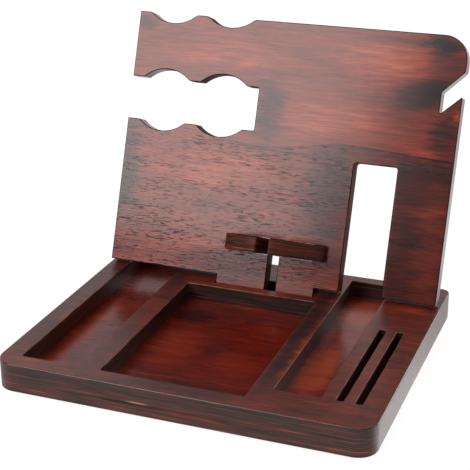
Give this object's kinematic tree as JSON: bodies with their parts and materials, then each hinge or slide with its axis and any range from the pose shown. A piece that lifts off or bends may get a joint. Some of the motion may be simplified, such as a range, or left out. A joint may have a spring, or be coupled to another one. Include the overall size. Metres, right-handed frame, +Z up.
{
  "type": "bedside valet stand",
  "caption": "Stained plywood valet stand: a trayed base with pen slots carries a leaning back panel with a watch arm, a key notch and a bow-fronted phone ledge.",
  "frame": {"origin": "middle of the whole stand's footprint, at the undersides of the felt pads", "axes": "+X across the stand to its right as a user sees it, +Y from the front edge to the back, +Z up"},
  "size_m": [0.228, 0.2224, 0.1809],
  "materials": {
    "base_wood": "mahogany-stained birch plywood under gloss varnish",
    "panel_wood": "mahogany-stained plywood under gloss varnish",
    "ledge_wood": "mahogany-stained plywood, edge plies showing, gloss varnish",
    "felt": "dark self-adhesive felt"
  },
  "bodies": {
    "base": {"base_board": "base_wood", "felt_pad_front_left": "felt", "felt_pad_front_right": "felt", "felt_pad_rear_left": "felt", "felt_pad_rear_right": "felt"},
    "panel": {"back_panel": "panel_wood"},
    "ledge": {"phone_ledge": "ledge_wood"}
  },
  "joints": [
    {"name": "panel_lift", "type": "slide", "parent": "base", "child": "panel", "axis": [0, 0.3551, 0.9348], "range_m": [0, 0.04]},
    {"name": "ledge_pull", "type": "slide", "parent": "panel", "child": "ledge", "axis": [0, -0.915, 0.4035], "range_m": [0, 0.03]}
  ]
}
